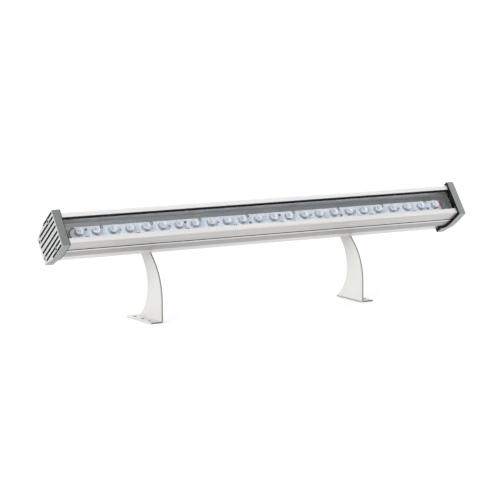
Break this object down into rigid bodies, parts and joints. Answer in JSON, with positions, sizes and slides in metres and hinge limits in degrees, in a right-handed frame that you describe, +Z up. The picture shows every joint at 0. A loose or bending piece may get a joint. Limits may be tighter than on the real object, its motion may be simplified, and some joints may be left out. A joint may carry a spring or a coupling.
{
  "type": "outdoor wall washer light",
  "caption": "Linear LED wall washer: glazed extruded bar with cast slotted end caps that tilts and slides on curved sheet brackets with drilled feet.",
  "frame": {"origin": "centre of the rectangle of the four round foot holes, on the surface under the feet", "axes": "+X along the bar towards the cable gland, +Y away from the lit side, +Z up"},
  "size_m": [1.021, 0.1547, 0.2543],
  "materials": {
    "housing": "extruded, sand blasted and clear anodised",
    "glass": "clear toughened glass",
    "seal_rubber": "black silicone rubber",
    "board": "pale solder mask on an aluminium core",
    "solder": "tinned pads",
    "emitter": "LED package with a pale yellow phosphor",
    "lens": "clear moulded acrylic",
    "lens_holder": "clear moulded acrylic tube",
    "component": "moulded parts",
    "screw_steel": "stainless steel",
    "white_plastic": "moulded polyamide",
    "red_lead": "silicone lead",
    "black_lead": "silicone lead",
    "mains_lead": "silicone lead",
    "circuit_board": "green solder mask",
    "driver_sheet": "mill finish sheet",
    "cap": "die cast aluminium, pale grey powder coat",
    "bracket": "off white powder coat on steel sheet",
    "gland": "nickel plated"
  },
  "bodies": {
    "brackets": {"left_bracket_arm": "bracket", "right_bracket_arm": "bracket"},
    "rail_clamps": {"left_mount_lug": "cap", "right_mount_lug": "cap", "left_slide_nut": "screw_steel", "right_slide_nut": "screw_steel", "lug_screws": "screw_steel", "pivot_bolts": "screw_steel", "pivot_nuts": "screw_steel", "pivot_washers": "screw_steel"},
    "light_head": {"housing_extrusion": "housing", "front_glass": "glass", "upper_glass_seal": "seal_rubber", "lower_glass_seal": "seal_rubber", "left_led_board": "board", "right_led_board": "board", "board_links": "solder", "led_emitters": "emitter", "lens_holders": "lens_holder", "lenses": "lens", "board_components": "component", "board_screws": "screw_steel", "feed_terminals": "white_plastic", "red_feed_lead": "red_lead", "black_feed_lead": "black_lead", "wire_grommets": "seal_rubber", "driver_base": "driver_sheet", "driver_cover": "driver_sheet", "driver_circuit_board": "circuit_board", "driver_components": "component", "driver_screws": "screw_steel", "mains_terminal_block": "white_plastic", "mains_leads": "mains_lead", "left_end_cap": "cap", "right_end_cap": "cap", "left_cap_gasket": "seal_rubber", "right_cap_gasket": "seal_rubber", "left_cap_screws": "screw_steel", "right_cap_screws": "screw_steel", "gland_body": "gland", "gland_locknut": "gland", "gland_seal": "seal_rubber", "gland_dome_nut": "gland"}
  },
  "joints": [
    {"name": "head_tilt", "type": "hinge", "parent": "brackets", "child": "rail_clamps", "pos_m": [0, 0.0455, 0.1538], "axis": [-1, 0, 0], "range_deg": [-3, 60]},
    {"name": "rail_slide", "type": "slide", "parent": "rail_clamps", "child": "light_head", "axis": [1, 0, 0], "range_m": [-0.15, 0.15]}
  ]
}
